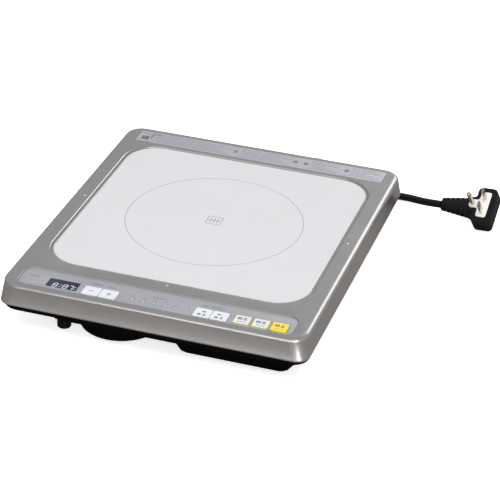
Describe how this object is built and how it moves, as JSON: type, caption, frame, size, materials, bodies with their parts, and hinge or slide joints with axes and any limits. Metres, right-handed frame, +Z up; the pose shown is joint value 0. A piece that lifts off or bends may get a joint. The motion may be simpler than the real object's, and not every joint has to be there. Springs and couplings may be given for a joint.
{
  "type": "induction hob",
  "caption": "Tabletop single-zone induction hob: brushed steel top, white glass, front touch strip with keys, black case with fan, and a mains lead tied in a hank.",
  "frame": {"origin": "centre of the hob's footprint on the table, its lead and plug not counted", "axes": "+Z up, +Y towards the rear, +X to the right seen from the front"},
  "size_m": [0.4009, 0.4181, 0.05],
  "materials": {
    "steel": "brushed",
    "white_glass": "gloss, opaque white",
    "seal": "matt",
    "label_film": "silver film",
    "panel_film": "satin blue-grey film",
    "display_glass": "gloss, dark",
    "clear_plastic": "clear",
    "key_white": "satin white",
    "key_yellow": "satin yellow",
    "grey_silicone": "matt",
    "circuit_board": "solder mask",
    "mica": "satin",
    "copper_winding": "varnished wire",
    "ferrite": "matt, sintered",
    "dark_plastic": "matt",
    "black_plastic": "fine texture",
    "white_plastic": "satin",
    "aluminium": "extruded",
    "epoxy": "matt",
    "capacitor_case": "satin",
    "black_rubber": "matt",
    "zinc_plate": "zinc plated",
    "nickel_plate": "nickel plated brass",
    "cord_jacket": "satin",
    "tie": "plastic strip"
  },
  "bodies": {
    "housing": {"top_frame": "steel", "glass_plate": "white_glass", "glass_seal": "seal", "rear_label": "label_film", "control_overlay": "panel_film", "display_window": "display_glass", "display_module": "dark_plastic", "indicator_guide": "clear_plastic", "keypad_mat": "grey_silicone", "control_board": "circuit_board", "mica_sheet": "mica", "temperature_sensor": "grey_silicone", "coil_former": "dark_plastic", "coil_winding": "copper_winding", "bottom_case": "black_plastic", "fan_frame": "dark_plastic", "main_board": "circuit_board", "heat_sink": "aluminium", "power_transistor": "epoxy", "bridge_rectifier": "epoxy", "filter_choke": "copper_winding", "resonant_capacitor": "capacitor_case", "smoothing_capacitor": "capacitor_case", "cord_gland": "black_rubber", "cord_clamp": "dark_plastic", "power_cord": "cord_jacket", "cord_hank": "cord_jacket", "power_cord_end": "cord_jacket", "cord_tie": "tie", "plug_body": "black_plastic", "plug_face": "white_plastic", "plug_boot": "black_rubber", "blade_line": "nickel_plate", "blade_neutral": "nickel_plate", "earth_pin": "nickel_plate", "ferrite_bar_1": "ferrite", "case_screw_1": "zinc_plate", "ferrite_bar_2": "ferrite", "case_screw_2": "zinc_plate", "ferrite_bar_3": "ferrite", "case_screw_3": "zinc_plate", "ferrite_bar_4": "ferrite", "case_screw_4": "zinc_plate", "foot_front_left": "black_rubber", "foot_rear_left": "black_rubber", "foot_rear_right": "black_rubber", "foot_front_right": "black_rubber"},
    "key_minus": {"key_minus": "key_white"},
    "key_plus": {"key_plus": "key_white"},
    "key_left": {"key_left": "key_white"},
    "key_right": {"key_right": "key_white"},
    "key_mode_a": {"key_mode_a": "key_white"},
    "key_mode_b": {"key_mode_b": "key_white"},
    "key_power": {"key_power": "key_yellow"},
    "fan_rotor": {"fan_rotor": "black_plastic"}
  },
  "joints": [
    {"name": "key_minus_press", "type": "slide", "parent": "housing", "child": "key_minus", "axis": [0, 0, -1], "range_m": [0, 0.0005], "stiffness_N_per_m": 1500},
    {"name": "key_plus_press", "type": "slide", "parent": "housing", "child": "key_plus", "axis": [0, 0, -1], "range_m": [0, 0.0005], "stiffness_N_per_m": 1500},
    {"name": "key_left_press", "type": "slide", "parent": "housing", "child": "key_left", "axis": [0, 0, -1], "range_m": [0, 0.0005], "stiffness_N_per_m": 1500},
    {"name": "key_right_press", "type": "slide", "parent": "housing", "child": "key_right", "axis": [0, 0, -1], "range_m": [0, 0.0005], "stiffness_N_per_m": 1500},
    {"name": "key_mode_a_press", "type": "slide", "parent": "housing", "child": "key_mode_a", "axis": [0, 0, -1], "range_m": [0, 0.0005], "stiffness_N_per_m": 1500},
    {"name": "key_mode_b_press", "type": "slide", "parent": "housing", "child": "key_mode_b", "axis": [0, 0, -1], "range_m": [0, 0.0005], "stiffness_N_per_m": 1500},
    {"name": "key_power_press", "type": "slide", "parent": "housing", "child": "key_power", "axis": [0, 0, -1], "range_m": [0, 0.0005], "stiffness_N_per_m": 1500},
    {"name": "fan_spin", "type": "hinge", "parent": "housing", "child": "fan_rotor", "pos_m": [-0.044, -0.128, 0.0145], "axis": [0, 0, 1], "continuous": true}
  ]
}
